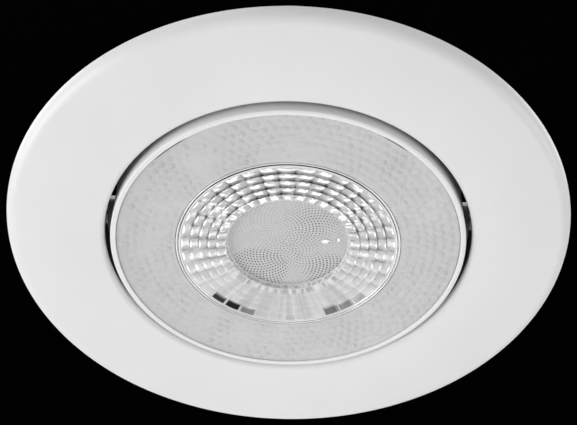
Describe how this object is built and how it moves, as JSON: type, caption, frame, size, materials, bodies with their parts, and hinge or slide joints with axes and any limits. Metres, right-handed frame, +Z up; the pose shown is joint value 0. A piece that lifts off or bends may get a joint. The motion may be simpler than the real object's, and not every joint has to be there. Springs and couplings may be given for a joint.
{
  "type": "soffit downlight",
  "caption": "Recessed tilting LED downlight: wide round white bezel, faceted clear lens in a tilting head, finned body, driver housing and two spring clips.",
  "frame": {"origin": "centre of the cut-out, on the underside of the soffit board, where the bezel's rear face rests", "axes": "+Z goes up into the soffit void, the light shines towards -Z, X is the tilt axis through the two clips, the cable gland is on the +Y side"},
  "size_m": [0.09, 0.09, 0.039],
  "materials": {
    "white_coat": "satin",
    "ring_white": "gloss",
    "foam": "matt foam",
    "steel": "satin",
    "zinc": "bright zinc",
    "spring_steel": "drawn wire",
    "nylon": "satin",
    "rubber": "matt",
    "silicone": "satin",
    "clear_lens": "gloss",
    "tray_white": "satin",
    "ceramic": "matt",
    "phosphor": "satin",
    "pad_grey": "matt",
    "wire_white": "satin",
    "black_plastic": "satin",
    "grey_plastic": "satin",
    "board_green": "satin",
    "ferrite": "matt",
    "can_black": "sleeve",
    "fuse_body": "gloss",
    "terminal_white": "satin",
    "brass": "bright"
  },
  "bodies": {
    "trim": {"trim_bezel": "white_coat", "soffit_gasket": "foam", "pivot_pins": "steel", "pivot_washers": "nylon", "clip_pins": "zinc", "clip_spring_left": "spring_steel", "clip_spring_right": "spring_steel"},
    "head": {"head_housing": "white_coat", "lens_ring": "ring_white", "lens": "clear_lens", "lens_gasket": "silicone", "lens_tray": "tray_white", "thermal_pad": "pad_grey", "led_cob": "ceramic", "led_phosphor": "phosphor", "cob_holder": "tray_white", "holder_screws": "zinc", "led_leads": "wire_white", "lead_grommet": "rubber", "driver_housing": "grey_plastic", "housing_screws": "zinc", "driver_board": "board_green", "board_screws": "zinc", "cover_gasket": "silicone", "rear_cover": "grey_plastic", "cover_screws": "zinc", "terminal_block": "terminal_white", "terminal_screws": "brass", "transformer": "ferrite", "bulk_capacitor": "can_black", "bridge_rectifier": "black_plastic", "fuse": "fuse_body", "output_choke": "ferrite", "gland_body": "black_plastic", "gland_nut": "black_plastic", "gland_seal": "rubber", "gland_locknut": "black_plastic"},
    "clip_left": {"clip_arm_left": "zinc", "clip_sleeve_left": "rubber"},
    "clip_right": {"clip_arm_right": "zinc", "clip_sleeve_right": "rubber"}
  },
  "joints": [
    {"name": "head_tilt", "type": "hinge", "parent": "trim", "child": "head", "pos_m": [0, 0, 0.0042], "axis": [1, 0, 0], "range_deg": [-20, 20]},
    {"name": "clip_left_swing", "type": "hinge", "parent": "trim", "child": "clip_left", "pos_m": [-0.0328, 0, 0.0124], "axis": [0, 1, 0], "range_deg": [0, 130], "stiffness_Nm_per_rad": 0.01, "springref_deg": -34.38, "deforming": ["clip_spring_left"]},
    {"name": "clip_right_swing", "type": "hinge", "parent": "trim", "child": "clip_right", "pos_m": [0.0328, 0, 0.0124], "axis": [0, -1, 0], "range_deg": [0, 130], "stiffness_Nm_per_rad": 0.01, "springref_deg": -34.38, "deforming": ["clip_spring_right"]}
  ]
}
